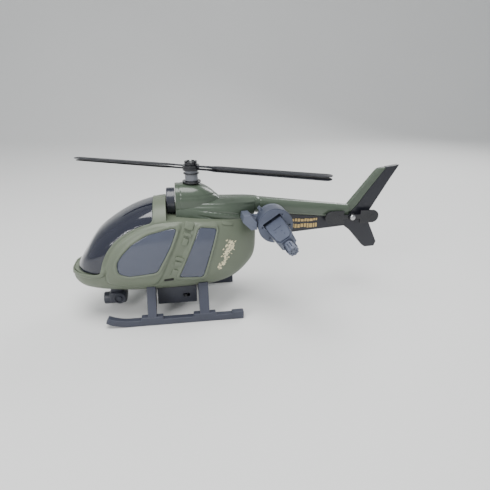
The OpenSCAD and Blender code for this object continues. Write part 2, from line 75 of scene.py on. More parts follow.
def material(name, rgb, rough=0.45, metallic=0.0, grain=0.02, grain_scale=1400, mottle=0.10,
             mottle_scale=45, coat=0.0, transmission=0.0, specular=0.5, edge_lighten=0.25, flow=0.0, uneven=0.04):
    """A moulded material: mottled colour, uneven gloss, lighter colour on sharp outer edges and a fine
    surface grain.
    """
    mat = bpy.data.materials.new(name)
    mat.use_nodes = True
    nodes, links = mat.node_tree.nodes, mat.node_tree.links
    shader = nodes["Principled BSDF"]
    shader.inputs["Metallic"].default_value = metallic
    shader.inputs["Specular IOR Level"].default_value = specular
    shader.inputs["Coat Weight"].default_value = coat
    shader.inputs["Coat Roughness"].default_value = 0.12
    shader.inputs["Transmission Weight"].default_value = transmission
    shader.inputs["IOR"].default_value = 1.45
    place = nodes.new("ShaderNodeTexCoord")

    def noise(scale, detail, distortion=0.0):
        n = nodes.new("ShaderNodeTexNoise")
        n.inputs["Scale"].default_value = scale
        n.inputs["Detail"].default_value = detail
        n.inputs["Distortion"].default_value = distortion
        links.new(place.outputs["Object"], n.inputs["Vector"])
        return n

    cloud = noise(mottle_scale, 4.0, flow)
    base = linear(rgb)
    shade = nodes.new("ShaderNodeValToRGB")
    shade.color_ramp.elements[0].position = 0.25
    shade.color_ramp.elements[1].position = 0.75
    low = [c * (1 - mottle) for c in base]
    high = [min(1, c * (1 + mottle)) for c in base]
    shade.color_ramp.elements[0].color = (*low, 1)
    shade.color_ramp.elements[1].color = (*high, 1)
    links.new(cloud.outputs["Fac"], shade.inputs["Fac"])
    # Sharp outer edges, picked out by pointiness, are made lighter in colour
    geometry = nodes.new("ShaderNodeNewGeometry")
    edge = nodes.new("ShaderNodeMapRange")
    edge.inputs["From Min"].default_value = 0.53
    edge.inputs["From Max"].default_value = 0.66
    edge.inputs["To Max"].default_value = edge_lighten
    links.new(geometry.outputs["Pointiness"], edge.inputs["Value"])
    edge_tint = nodes.new("ShaderNodeMix")
    edge_tint.data_type = "RGBA"
    edge_tint.inputs["B"].default_value = (*[min(1, c * 1.5 + 0.05) for c in base], 1)
    links.new(edge.outputs["Result"], edge_tint.inputs["Factor"])
    links.new(shade.outputs["Color"], edge_tint.inputs["A"])
    links.new(edge_tint.outputs["Result"], shader.inputs["Base Color"])
    patch = noise(mottle_scale * 5, 3.0)
    gloss = nodes.new("ShaderNodeMapRange")
    gloss.inputs["From Min"].default_value = 0.3
    gloss.inputs["From Max"].default_value = 0.7
    gloss.inputs["To Min"].default_value = max(0.02, rough - uneven)
    gloss.inputs["To Max"].default_value = min(1.0, rough + uneven)
    links.new(patch.outputs["Fac"], gloss.inputs["Value"])
    links.new(gloss.outputs["Result"], shader.inputs["Roughness"])
    if grain:
        fine = noise(grain_scale, 2.0)
        bump = nodes.new("ShaderNodeBump")
        bump.inputs["Strength"].default_value = min(1.0, grain * 6)
        bump.inputs["Distance"].default_value = 0.0002
        links.new(fine.outputs["Fac"], bump.inputs["Height"])
        links.new(bump.outputs["Normal"], shader.inputs["Normal"])
    return mat


MATS = {
    "olive_body": material("olive_body", (100, 108, 92), 0.42, grain=0.05, grain_scale=1500, mottle=0.04,
                           uneven=0.02),
    "olive_gloss": material("olive_gloss", (72, 83, 70), 0.25, coat=0.35, mottle=0.04, grain=0.0, flow=0.6,
                            uneven=0.015),
    "frame_black": material("frame_black", (29, 30, 38), 0.36, coat=0.2, grain=0.02, edge_lighten=0.15),
    "charcoal_plastic": material("charcoal_plastic", (52, 54, 63), 0.42, grain=0.04),
    "gear_plastic": material("gear_plastic", (62, 65, 77), 0.48, grain=0.05),
    "gunmetal_plastic": material("gunmetal_plastic", (80, 86, 102), 0.38, grain=0.05, edge_lighten=0.35),
    "grey_plastic": material("grey_plastic", (112, 114, 120), 0.40, grain=0.04),
    "black_gloss": material("black_gloss", (18, 19, 25), 0.24, coat=0.3, grain=0.0, edge_lighten=0.12),
    "blade_black": material("blade_black", (17, 19, 27), 0.40, grain=0.02, edge_lighten=0.10, specular=0.35),
    "rim_dark": material("rim_dark", (40, 42, 51), 0.24, coat=0.3, grain=0.0, edge_lighten=0.3),
    "smoked_screen": material("smoked_screen", (36, 40, 58), 0.05, coat=0.7, grain=0.0,
                              transmission=0.45, mottle=0.05, edge_lighten=0.1),
    "tinted_pane": material("tinted_pane", (98, 104, 122), 0.16, coat=0.3, grain=0.0,
                            transmission=0.45, mottle=0.03, edge_lighten=0.1),
    "clear_lens": material("clear_lens", (205, 208, 214), 0.05, coat=0.5, grain=0.0,
                           transmission=0.9, mottle=0.02, edge_lighten=0.0),
    "cabin_trim": material("cabin_trim", (52, 52, 56), 0.55, grain=0.06),
    "lamp_white": material("lamp_white", (236, 233, 214), 0.25, grain=0.0, mottle=0.02, edge_lighten=0.0),
    "cell_steel": material("cell_steel", (190, 190, 188), 0.28, metallic=1.0, mottle=0.05),
    "steel_pin": material("steel_pin", (178, 178, 180), 0.25, metallic=1.0, mottle=0.05),
    "screw_steel": material("screw_steel", (160, 161, 164), 0.32, metallic=1.0, mottle=0.08),
    "spring_steel": material("spring_steel", (170, 170, 172), 0.30, metallic=1.0, mottle=0.06),
    "contact_brass": material("contact_brass", (205, 176, 110), 0.30, metallic=1.0, mottle=0.06),
    "speaker_black": material("speaker_black", (36, 36, 37), 0.6, grain=0.1),
    "board_green": material("board_green", (28, 96, 56), 0.35, grain=0.03),
    "decal_cream": material("decal_cream", (222, 212, 176), 0.42, mottle=0.10, mottle_scale=260, edge_lighten=0.0),
    "decal_gold": material("decal_gold", (200, 170, 108), 0.34, mottle=0.12, mottle_scale=240, edge_lighten=0.0),
    # shadow_black is painted shade: a near-black colour standing for the shadow in slots
    "shadow_black": material("shadow_black", (14, 14, 16), 0.6, grain=0.03, edge_lighten=0.0),
}


# ---------------------------------------------------------------- mesh helpers
def piece(name, verts, faces, slot, body, replaces=(), mats=None):
    """A mesh piece given in millimetres, riding on a CAD body."""
    data = bpy.data.meshes.new(name)
    data.from_pydata([(x * MM, (y + SIDE) * MM, z * MM) for x, y, z in verts], [],
                     [tuple(f) for f in faces])
    data.update()
    obj = bpy.data.objects.new(name, data)
    bpy.context.scene.collection.objects.link(obj)
    data.materials.append(MATS[mats or slot])
    for polygon in data.polygons:
        polygon.use_smooth = True
    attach(obj, body)
    if replaces:
        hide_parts(*replaces)
    return obj


def tidy(obj, angle=40):
    """Merges doubles, makes normals point outwards and keeps edges above angle sharp."""
    bm = bmesh.new()
    bm.from_mesh(obj.data)
    bmesh.ops.remove_doubles(bm, verts=bm.verts, dist=1e-6)
    bmesh.ops.recalc_face_normals(bm, faces=bm.faces)
    for edge in bm.edges:
        sharp = len(edge.link_faces) == 2 and edge.calc_face_angle(0) > math.radians(angle)
        edge.smooth = not sharp
    bm.to_mesh(obj.data)
    bm.free()
    return obj


def rounded(obj, width, segments, angle):
    """Rounds the sharp edges of a piece by width millimetres."""
    bevel = obj.modifiers.new("round", "BEVEL")
    bevel.width = width * MM
    bevel.segments = segments
    bevel.limit_method = "ANGLE"
    bevel.angle_limit = math.radians(angle)
    bevel.profile = 0.6
    weight = obj.modifiers.new("weight", "WEIGHTED_NORMAL")
    weight.keep_sharp = False
    return obj


# Edges of a CAD node sharper than this many degrees are rounded by soften()
SOFTEN_ANGLE = 40


def soften(node, width, segments=3, mats=None):
    """A copy of a CAD node with rounded edges that stands for it."""
    source = NODES[node]
    data = source.data.copy()
    obj = bpy.data.objects.new(node + "_moulding", data)
    bpy.context.scene.collection.objects.link(obj)
    bm = bmesh.new()
    bm.from_mesh(data)
    bmesh.ops.remove_doubles(bm, verts=bm.verts, dist=2e-6)
    bmesh.ops.dissolve_limit(bm, angle_limit=math.radians(1.0), verts=bm.verts, edges=bm.edges)
    bmesh.ops.recalc_face_normals(bm, faces=bm.faces)
    bm.to_mesh(data)
    bm.free()
    slot_name = SLOT_OF[node]
    data.materials.clear()
    data.materials.append(MATS[mats or slot_name])
    for polygon in data.polygons:
        polygon.use_smooth = True
    rounded(obj, width, segments, SOFTEN_ANGLE)
    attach(obj, BODY_OF[node])
    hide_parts(node)
    return obj


SLOT_OF = {s["node"]: s["material_slot"] for s in frame["record"]["subparts"]}
BODY_OF = {n: b for b, members in frame["record"]["behaviour"]["bodies"].items() for n in members}
for node_name, node_object in NODES.items():
    node_object.data.materials.clear()
    node_object.data.materials.append(MATS[SLOT_OF[node_name]])


def tube_rings(rings):
    """Points and faces that join equal rings, in order, with a fan over each end."""
    verts, faces = [], []
    n = len(rings[0])
    for ring in rings:
        verts.extend(ring)
    for i in range(len(rings) - 1):
        for k in range(n):
            a, b = i * n + k, i * n + (k + 1) % n
            faces.append((a, b, b + n, a + n))
    for base, ring, order in ((0, rings[0], -1), ((len(rings) - 1) * n, rings[-1], 1)):
        centre = len(verts)
        verts.append(tuple(np.mean(np.array(ring), axis=0)))
        for k in range(n):
            a, b = base + k, base + (k + 1) % n
            faces.append((a, b, centre) if order > 0 else (b, a, centre))
    return verts, faces


def lathe(profile, centre, axis, sides=64):
    """Turns a profile of (radius, height) pairs about an axis through centre."""
    axis = Vector(axis).normalized()
    u = axis.orthogonal().normalized()
    v = axis.cross(u)
    rings = []
    for radius, height in profile:
        radius = max(radius, 0.01)
        rings.append([tuple(Vector(centre) + axis * height
                            + (u * math.cos(t) + v * math.sin(t)) * radius)
                      for t in (2 * math.pi * k / sides for k in range(sides))])
    return tube_rings(rings)


def merge(parts):
    verts, faces = [], []
    for v, f in parts:
        base = len(verts)
        verts.extend(v)
        faces.extend([tuple(i + base for i in face) for face in f])
    return verts, faces


def block(centre, size, axes=None, bevel=0.3, steps=2):
    """A rounded box as plain geometry. axes are three unit vectors."""
    bm = bmesh.new()
    bmesh.ops.create_cube(bm, size=1.0)
    bmesh.ops.scale(bm, vec=Vector(size), verts=bm.verts)
    if bevel:
        bmesh.ops.bevel(bm, geom=list(bm.edges), offset=bevel, segments=steps, affect="EDGES",
                        profile=0.6)
    rot = Matrix(axes).transposed() if axes is not None else Matrix.Identity(3)
    verts = [tuple(rot @ v.co + Vector(centre)) for v in bm.verts]
    bm.verts.index_update()
    faces = [tuple(v.index for v in f.verts) for f in bm.faces]
    bm.free()
    return verts, faces


# ---------------------------------------------------------------- lofted surfaces
# Each row is one station of a loft: x, top z, bottom z and half width
SQUARENESS = 2.6
EGG = np.array([
    [-174.5, 50.2, 48.6, 0.8], [-174.2, 52.4, 46.0, 5.6], [-171.5, 57, 39, 13], [-162, 72, 33, 24],
    [-146, 91, 29.5, 32], [-126, 106, 27.5, 37], [-104, 117, 26.5, 40], [-80, 123, 26.5, 41],
    [-55, 122, 27, 40], [-30, 116, 28.5, 36.5], [-8, 109, 35, 29], [8, 103, 48, 20],
    [14.6, 96, 59, 13.4], [17, 82, 76, 1.0]])
SCREEN = np.array([
    [-169.5, 54, 46, 6], [-167, 60, 40, 14], [-159.5, 72.5, 33, 24], [-146, 91, 29.5, 32],
    [-126, 106, 27.5, 37], [-104, 117, 26.5, 40], [-80, 123, 26.5, 41], [-55, 122, 27, 40]])
COWL = np.array([
    [-67, 121.5, 88, 18.3], [-50, 122, 88, 20.8], [-38, 122, 87, 21.5], [-15, 121.8, 88, 20.5],
    [3, 122, 92, 15.5], [14, 121.5, 98, 10.5]])
HOUSING = np.array([
    [-67, 136.5, 100, 17.2], [-50, 137, 100, 18.2], [-40, 135.4, 101, 16.5], [-31, 130.5, 102, 13],
    [-22, 122.8, 104, 9]])
BOOM = np.array([[14.2, 121, 104.4, 8.8], [66, 114.7, 98.5, 7.2], [121, 108.3, 93.3, 5.5]])


def rows_at(rows, u):
    """Catmull-Rom through the stations, for an array of station numbers."""
    n = len(rows) - 1
    u = np.asarray(u, float)
    i = np.clip(np.floor(u).astype(int), 0, n - 1)
    t = (u - i)[..., None]
    a, b = rows[np.maximum(i - 1, 0)], rows[i]
    c, d = rows[i + 1], rows[np.minimum(i + 2, n)]
    return 0.5 * (2 * b + (c - a) * t + (2 * a - 5 * b + 4 * c - d) * t * t
                  + (3 * b - a - 3 * c + d) * t ** 3)


def skin(rows, u, a):
    """Points on a loft. a is the angle from port (-Y) up through the top, in radians."""
    row = rows_at(rows, u)
    half_w, half_h = row[..., 3], (row[..., 1] - row[..., 2]) / 2
    mid, e = (row[..., 1] + row[..., 2]) / 2, 2 / SQUARENESS
    ca, sa = np.cos(a), np.sin(a)
    y = -half_w * np.sign(ca) * np.abs(ca) ** e
    z = mid + half_h * np.sign(sa) * np.abs(sa) ** e
    return np.stack([row[..., 0], y, z], axis=-1)


def skin_normal(rows, u, a):
    du, da = 1e-3, 1e-3
    top = len(rows) - 1
    pu = skin(rows, np.minimum(u + du, top), a) - skin(rows, np.maximum(u - du, 0), a)
    pa = skin(rows, u, a + da) - skin(rows, u, a - da)
    n = np.cross(pu, pa)
    n /= np.maximum(np.linalg.norm(n, axis=-1, keepdims=True), 1e-9)
    return n


def even_stations(rows, count, last=None):
    """Station numbers at even steps along the skin, up to the station number last."""
    u = np.linspace(0.0, len(rows) - 1 if last is None else last, 3000)
    r = rows_at(rows, u)
    step = np.sqrt(np.diff(r[:, 0]) ** 2 + 0.5 * np.diff(r[:, 1]) ** 2 + 0.5 * np.diff(r[:, 3]) ** 2)
    s = np.concatenate([[0], np.cumsum(step)])
    return np.interp(np.linspace(0, s[-1], count), s, u)


def even_angles(count, a0, a1):
    """Angles that spread points evenly round a superellipse."""
    a = np.linspace(a0, a1, 4000)
    e = 2 / SQUARENESS
    x = np.sign(np.cos(a)) * np.abs(np.cos(a)) ** e
    y = np.sign(np.sin(a)) * np.abs(np.sin(a)) ** e * 1.15
    s = np.concatenate([[0], np.cumsum(np.hypot(np.diff(x), np.diff(y)))])
    return np.interp(np.linspace(0, s[-1], count), s, a)


def smooth(t):
    t = np.clip(t, 0, 1)
    return t * t * (3 - 2 * t)


def corner_round(points, radius, steps=5):
    """Rounds the corners of a closed outline."""
    pts = [np.array(p, float) for p in points]
    out = []
    for i, p in enumerate(pts):
        before, after = pts[i - 1], pts[(i + 1) % len(pts)]
        r0 = min(radius, 0.45 * np.linalg.norm(before - p))
        r1 = min(radius, 0.45 * np.linalg.norm(after - p))
        a = p + (before - p) / np.linalg.norm(before - p) * r0
        b = p + (after - p) / np.linalg.norm(after - p) * r1
        for k in range(steps + 1):
            t = k / steps
            out.append((1 - t) ** 2 * a + 2 * t * (1 - t) * p + t * t * b)
    return np.array(out)


def outside(points, outline):
    """Distance from points (..., 2) to a closed outline, negative inside it."""
    shape = points.shape[:-1]
    p = points.reshape(-1, 2)
    best = np.full(len(p), 1e9)
    inside = np.zeros(len(p), bool)
    n = len(outline)
    for i in range(n):
        a, b = outline[i], outline[(i + 1) % n]
        d = b - a
        length = d @ d
        if length < 1e-12:
            continue
        t = np.clip(((p - a) @ d) / length, 0, 1)
        best = np.minimum(best, np.hypot(*(p - a - t[:, None] * d).T))
        crosses = (a[1] > p[:, 1]) != (b[1] > p[:, 1])
        if abs(d[1]) > 1e-12:
            x = a[0] + (p[:, 1] - a[1]) * d[0] / d[1]
            inside ^= crosses & (p[:, 0] < x)
    return np.where(inside, -best, best).reshape(shape)


def cut_grid(rows, us, angles, keep, shift):
    """A patch of a loft where keep(points) > 0, its edge snapped to keep = 0.

    shift(points, normals) returns the points where they end up, in millimetres."""
    uu, aa = np.meshgrid(us, angles, indexing="ij")
    base = skin(rows, uu, aa)
    f = keep(base)
    snapped = np.full(f.shape, 9.0)
    new_u, new_a = uu.copy(), aa.copy()
    for di, dj in ((1, 0), (0, 1)):
        s0 = (slice(0, f.shape[0] - di), slice(0, f.shape[1] - dj))
        s1 = (slice(di, None), slice(dj, None))
        f0, f1 = f[s0], f[s1]
        with np.errstate(divide="ignore", invalid="ignore"):
            t = np.where(f0 * f1 < 0, f0 / (f0 - f1), np.nan)
        for sl, move, other in ((s0, t, s1), (s1, 1 - t, s0)):
            better = (move <= 0.5) & (move < snapped[sl])
            target_u = uu[sl] + (uu[other] - uu[sl]) * move
            target_a = aa[sl] + (aa[other] - aa[sl]) * move
            view_u, view_a, view_s = new_u[sl], new_a[sl], snapped[sl]
            view_u[better] = target_u[better]
            view_a[better] = target_a[better]
            view_s[better] = move[better]
    on_edge = snapped < 1
    sign = np.where(on_edge, 0, np.sign(f)).astype(int)
    points = skin(rows, new_u, new_a)
    normals = skin_normal(rows, new_u, new_a)
    points = shift(points, normals)
    centre = keep(0.25 * (points[:-1, :-1] + points[1:, :-1] + points[:-1, 1:] + points[1:, 1:]))
    count = f.shape[1]
    faces = []
    for i in range(f.shape[0] - 1):
        for j in range(count - 1):
            ring = [(i, j), (i + 1, j), (i + 1, j + 1), (i, j + 1)]
            signs = [sign[r] for r in ring]
            if max(signs) <= 0 and not (min(signs) == 0 and centre[i, j] > 0.05):
                continue
            index = [r[0] * count + r[1] for r in ring]
            if min(signs) >= 0:
                faces.append(index)
                continue
            for k in range(4):
                if signs[k] > 0 and signs[k - 1] <= 0 and signs[(k + 1) % 4] <= 0:
                    faces.append([index[k - 1], index[k], index[(k + 1) % 4]])
    flat = points.reshape(-1, 3)
    used = sorted({v for face in faces for v in face})
    remap = {v: k for k, v in enumerate(used)}
    return [tuple(flat[v]) for v in used], [tuple(remap[v] for v in face) for face in faces]


# ---------------------------------------------------------------- cabin outlines
GLASS = np.array([[-190, 54], [-150, 54.5], [-142.5, 56], [-140, 68.5], [-133.7, 80.5], [-125.5, 90.2],
                  [-114, 98], [-103, 103], [-89, 107], [-89, 145], [-190, 145]], float)
GLASS_LINE = corner_round(GLASS, 5)
DOOR_PANE = corner_round([[-125.5, 57], [-126, 68], [-121, 76], [-110.5, 87], [-95.5, 96.3],
                          [-73, 101.8], [-67, 101.3], [-73.8, 84], [-88, 57.5], [-116, 53.8]], 4)
REAR_PANE = corner_round([[-45.4, 101], [-27.8, 98], [-42.8, 47.6], [-67, 50.1]], 3)
DOOR_PANEL = corner_round([[-137, 45], [-137.3, 56], [-135.6, 66], [-129, 79.5], [-120.6, 89],
                           [-110, 96.5], [-98, 101.8], [-84, 105], [-62, 106], [-67, 92], [-74, 76],
                           [-83, 55], [-90, 42], [-113, 39.8]], 5)
REAR_FRAME = corner_round([[-49.5, 105.5], [-25.5, 102], [-40.5, 44], [-73, 45.8]], 5)
# The deck behind the cabin: where it starts, its height there and its fall per millimetre
DECK_X, DECK_Z, DECK_FALL = -76.0, 108.0, 0.08
# The side windows are cut only where the skin is farther than this from the centre plane
FLANK_Y = 8
# How far each pane stands out from its loft (the screen lies just inside its own)
DOOR_PANE_OUT, REAR_PANE_OUT, SCREEN_OUT = 1.1, 0.85, -0.12
PANE_WALL, SCREEN_WALL, CABIN_WALL = 1.1, 1.5, 1.6
# How far the lip under the screen stands out from the nose
LIP_OUT = 2.3


def deck(x):
    return DECK_Z - DECK_FALL * (x - DECK_X)


def side(points):
    return points[..., [0, 2]]


def cabin_keep(points):
    """Positive on the moulding, negative inside the screen and the side windows."""
    flank = np.abs(points[..., 1]) > FLANK_Y
    glass = outside(side(points), GLASS_LINE)
    door = np.where(flank, outside(side(points), DOOR_PANE), 50.0)
    rear = np.where(flank, outside(side(points), REAR_PANE), 50.0)
    return np.minimum(glass, np.minimum(door, rear))


def cabin_relief(points, normals):
    """Raised door, window beads, nose lip, seams and the flat deck under the cowl."""
    xz = side(points)
    door, rear = outside(xz, DOOR_PANE), outside(xz, REAR_PANE)
    panel, surround = outside(xz, DOOR_PANEL), outside(xz, REAR_FRAME)
    glass = outside(xz, GLASS_LINE)
    x, y, z = points[..., 0], points[..., 1], points[..., 2]
    out = 1.3 * smooth(0.5 - panel / 1.6)
    out += 1.0 * smooth(0.5 - surround / 1.6)
    out += 0.9 * smooth(1 - np.abs(door - 1.6) / 1.7) + 0.9 * smooth(1 - np.abs(rear - 1.4) / 1.5)
    out -= 0.5 * smooth(1 - np.abs(panel - 1.7) / 0.9)
    lip = smooth((5.2 - glass) / 2.2) * smooth((66 - z) / 8) * smooth((x + 175.5) / 5)
    out += 0.7 * smooth(1 - glass / 2.2) * (1 - smooth((66 - z) / 8))
    out -= 0.45 * smooth(1 - np.abs(z - 36.5 - 0.02 * (x + 60)) / 0.8) * smooth((x + 168) / 6)
    out -= 0.35 * smooth(1 - np.abs(y) / 0.9)
    level = normals * [1, 1, 0.15]
    moved = points + normals * out[..., None] + level * (LIP_OUT * lip)[..., None]
    top = deck(moved[..., 0])
    behind = moved[..., 0] > DECK_X - 0.05
    over = np.maximum(moved[..., 2] - top, 0)
    moved[..., 2] = np.where(behind, moved[..., 2] - over * (1 - 0.06 * np.exp(-over / 2)), moved[..., 2])
    moved[..., 0] = np.maximum(moved[..., 0], CAD_BOX[0][0] / MM + 0.05)
    return moved


def cabin_half(name, sign, node):
    us = even_stations(EGG, 230)
    step = np.interp(DECK_X, rows_at(EGG, us)[:, 0], us)
    us = np.sort(np.concatenate([us, [step - 1e-3, step + 1.5e-3]]))
    angles = even_angles(150, -math.pi / 2 + 0.003, math.pi / 2 - 0.003)
    verts, faces = cut_grid(EGG, us, angles, cabin_keep, cabin_relief)
    if sign > 0:
        verts = [(x, -y, z) for x, y, z in verts]
        faces = [tuple(reversed(f)) for f in faces]
    obj = piece(name, verts, faces, "olive_body", "fuselage", [node])
    tidy(obj, 50)
    shell = obj.modifiers.new("wall", "SOLIDIFY")
    shell.thickness = CABIN_WALL * MM
    shell.offset = -1
    shell.use_even_offset = False
    return obj


def outward(obj):
    """Makes an open sheet's normals point away from the cabin's middle line."""
    bm = bmesh.new()
    bm.from_mesh(obj.data)
    bmesh.ops.recalc_face_normals(bm, faces=bm.faces)
    middle = Vector((-0.07, SIDE * MM, 0.075))
    score = sum((f.calc_center_median() - middle).dot(f.normal) for f in bm.faces)
    if score < 0:
        bmesh.ops.reverse_faces(bm, faces=bm.faces)
    bm.to_mesh(obj.data)
    bm.free()


cabin_port = cabin_half("cabin_side_port", -1, "fuselage_port")
cabin_starboard = cabin_half("cabin_side_starboard", 1, "fuselage_starboard")
outward(cabin_port)
outward(cabin_starboard)


def glazing(name, keep, out, wall, slot, node, sign=-1, full=False, count=(150, 120),
            last=None, rows=EGG):
    """A pane cut from a loft where keep is positive, moved out by out millimetres."""
    us = even_stations(rows, count[0], last)
    if full:
        angles = even_angles(count[1], -math.pi / 2, 1.5 * math.pi)
    else:
        angles = even_angles(count[1], -math.pi / 2 + 0.01, math.pi / 2 - 0.01)
    verts, faces = cut_grid(rows, us, angles, keep, lambda p, n: p + n * out)
    if sign > 0:
        verts = [(x, -y, z) for x, y, z in verts]
    obj = piece(name, verts, faces, slot, "fuselage", [node])
    tidy(obj, 60)
    outward(obj)
    shell = obj.modifiers.new("wall", "SOLIDIFY")
    shell.thickness = wall * MM
    shell.offset = -1
    return obj


def pane_keep(outline):
    """Positive inside a window outline on the flanks."""
    return lambda p: np.where(np.abs(p[..., 1]) > FLANK_Y, -outside(side(p), outline) - 0.05, -9.0)


glazing("windshield_smoked", lambda p: -outside(side(p), GLASS_LINE) - 0.1, SCREEN_OUT, SCREEN_WALL,
        "smoked_screen", "windshield", full=True, count=(170, 220), last=6.3, rows=SCREEN)
for sign, name in ((-1, "port"), (1, "starboard")):
    glazing("door_glass_" + name, pane_keep(DOOR_PANE), DOOR_PANE_OUT, PANE_WALL,
            "tinted_pane", "door_window_" + name, sign)
    glazing("rear_glass_" + name, pane_keep(REAR_PANE), REAR_PANE_OUT, PANE_WALL,
            "tinted_pane", "rear_window_" + name, sign)


def half_width(rows, x, z):
    """Half width of a loft at the height z."""
    us = np.linspace(0, len(rows) - 1, 3000)
    row = rows_at(rows, np.interp(x, rows_at(rows, us)[:, 0], us))
    mid, half_h = (row[..., 1] + row[..., 2]) / 2, (row[..., 1] - row[..., 2]) / 2
    return row[..., 3] * (1 - np.clip(np.abs(z - mid) / half_h, 0, 1) ** SQUARENESS) ** (1 / SQUARENESS)


def nose_ledge(top=53.8, bottom=52.3, rear=-152.0):
    """The shelf behind the nose lip that the windshield's foot stands over."""
    near = 1e-3
    edges = []
    for rows, inset in ((EGG, 0.6), (SCREEN, 3.5)):
        xs = np.linspace(rows[0, 0], rear, 4000)
        width = half_width(rows, xs, top - 0.3) - inset
        front = xs[np.argmax(width > near)] + inset * 0.4
        x = front + (rear - front) * np.linspace(0, 1, 30) ** 2
        w = np.maximum(half_width(rows, x, top - 0.3) - inset, near)
        w[0] = near
        edges.append(np.concatenate([np.stack([x, -w], -1)[::-1], np.stack([x, w], -1)[1:]]))
    outer, inner = edges
    return tube_rings([[(*o, top), (*i, top), (*i, bottom), (*o, bottom)]
                       for o, i in zip(outer, inner)])


tidy(piece("nose_ledge", *nose_ledge(), "olive_body", "fuselage"), 40)

# ---------------------------------------------------------------- small relief on the flanks
def flank_point(x, z, out=0.0):
    """Point and outward normal on the port flank above (x, z)."""
    us = np.linspace(0.5, len(EGG) - 1.5, 1200)
    u = np.interp(x, rows_at(EGG, us)[:, 0], us)
    row = rows_at(EGG, np.array([u]))[0]
    mid, half_h = (row[1] + row[2]) / 2, (row[1] - row[2]) / 2
    s = np.clip((z - mid) / half_h, -0.999, 0.999)
    a = math.asin(np.sign(s) * abs(s) ** (SQUARENESS / 2))
    p = skin(EGG, np.array([u]), np.array([a]))[0]
    n = skin_normal(EGG, np.array([u]), np.array([a]))[0]
    return Vector(p) + Vector(n) * out, Vector(n)


def flank_block(x, z, size, lift, lean=0.0, bevel=0.5):
    """A rounded pad on the port flank: size is (along, up, thick); lean tilts it in degrees."""
    p, n = flank_point(x, z, lift)
    along = Vector((1, 0, 0)) - n * n.x
    along.normalize()
    up = n.cross(along)
    if up.z < 0:
        up = -up
    t = math.radians(lean)
    a = along * math.cos(t) + up * math.sin(t)
    b = -along * math.sin(t) + up * math.cos(t)
    return block(p, size, [a, b, n], bevel)


def both_sides(name, part, slot, mats=None):
    """The same relief on both flanks, given for the port one."""
    verts, faces = part
    for side_name, sign in (("port", 1), ("starboard", -1)):
        obj = piece(f"{name}_{side_name}", [(x, sign * y, z) for x, y, z in verts], faces, slot,
                    "fuselage", mats=mats)
        tidy(obj, 35)


LEAN = -20
hinges = merge([
    flank_block(-55.0, 103.0, (8.2, 7.0, 3.4), 0.2, LEAN),
    flank_block(-57.0, 95.3, (8.0, 3.0, 3.8), 0.2, LEAN),
    flank_block(-59.6, 88.6, (5.6, 7.2, 3.0), 0.0, LEAN, 1.3),
    flank_block(-65.4, 71.6, (8.4, 3.0, 3.4), 0.2, LEAN),
    flank_block(-67.2, 66.0, (7.6, 5.0, 2.6), 0.1, LEAN, 0.9),
    flank_block(-71.0, 55.4, (6.6, 9.0, 2.0), 0.0, LEAN, 0.6)])
both_sides("door_hinges", hinges, "olive_body")
# The door catch is coloured near-black as painted shade, standing for the shadow in the slot of the door
# handle
both_sides("door_catch", flank_block(-77.2, 47.3, (9.5, 2.0, 1.8), 0.25, 6, 0.5), "charcoal_plastic",
           mats="shadow_black")
both_sides("shoulder_facet", flank_block(-16.5, 100.5, (12.5, 3.6, 2.4), -0.2, -3, 0.9), "olive_body")


def scatter_mark(points, rng_seed, width):
    """A generic ragged paint mark: small flakes strewn along a line on the port flank."""
    rng = np.random.default_rng(rng_seed)
    parts = []
    (x0, z0), (x1, z1) = points
    length = math.hypot(x1 - x0, z1 - z0)
    dx, dz = (x1 - x0) / length, (z1 - z0) / length
    for k in range(170):
        t = length * rng.uniform(0, 1) ** 0.8
        fat = 0.4 + 0.75 * t / length
        off = rng.normal(0, width * 0.24) * fat
        x, z = x0 + dx * t - dz * off, z0 + dz * t + dx * off
        size = rng.uniform(0.7, 2.0)
        parts.append(flank_flake(x, z, size, rng.uniform(0, 360), rng.integers(4, 7)))
    return merge(parts)


def flank_flake(x, z, size, turn, corners):
    """A thin many-cornered flake lying on the port flank."""
    p, n = flank_point(x, z, 0.0)
    along = (Vector((1, 0, 0)) - n * n.x).normalized()
    up = n.cross(along)
    top, bottom = [], []
    for k in range(corners):
        t = math.radians(turn) + 2 * math.pi * k / corners
        r = size * (0.65 + 0.35 * math.cos(3 * t + turn))
        q = p + along * (r * math.cos(t)) + up * (0.8 * r * math.sin(t))
        top.append(tuple(q + n * 0.12))
        bottom.append(tuple(q - n * 0.3))
    verts = top + bottom
    m = corners
    faces = [tuple(range(m)), tuple(range(2 * m - 1, m - 1, -1))]
    faces += [(k, m + k, m + (k + 1) % m, (k + 1) % m) for k in range(m)]
    return verts, faces


PAINT_SEED, DASH_SEED = 7, 11
PAINT_LINE, PAINT_WIDTH = [(-26, 54), (-12, 84)], 11
both_sides("paint_mark", scatter_mark(PAINT_LINE, PAINT_SEED, PAINT_WIDTH), "olive_body",
           mats="decal_cream")


# ---------------------------------------------------------------- cowl, intake and boom
def cowl_shift(points, normals):
    x, y, z = points[..., 0], points[..., 1], points[..., 2]
    out = 0.9 * smooth(1 - np.abs(z - 118.6 + 0.02 * (x + 50)) / 1.8) * smooth((x + 60) / 8)
    for start, fall in ((114.5, 0.16), (109.5, 0.24)):
        out -= 0.9 * smooth(1 - np.abs(z - start + fall * (x + 50)) / 1.3) * smooth((x + 52) / 14)
    out += 0.6 * smooth((105 - 0.20 * (x + 67) - z) / 2.0)
    out -= 0.35 * smooth(1 - np.abs(y) / 0.7)
    moved = points + normals * out[..., None]
    moved[..., 2] = np.maximum(moved[..., 2], deck(moved[..., 0]) + 0.15)
    return moved


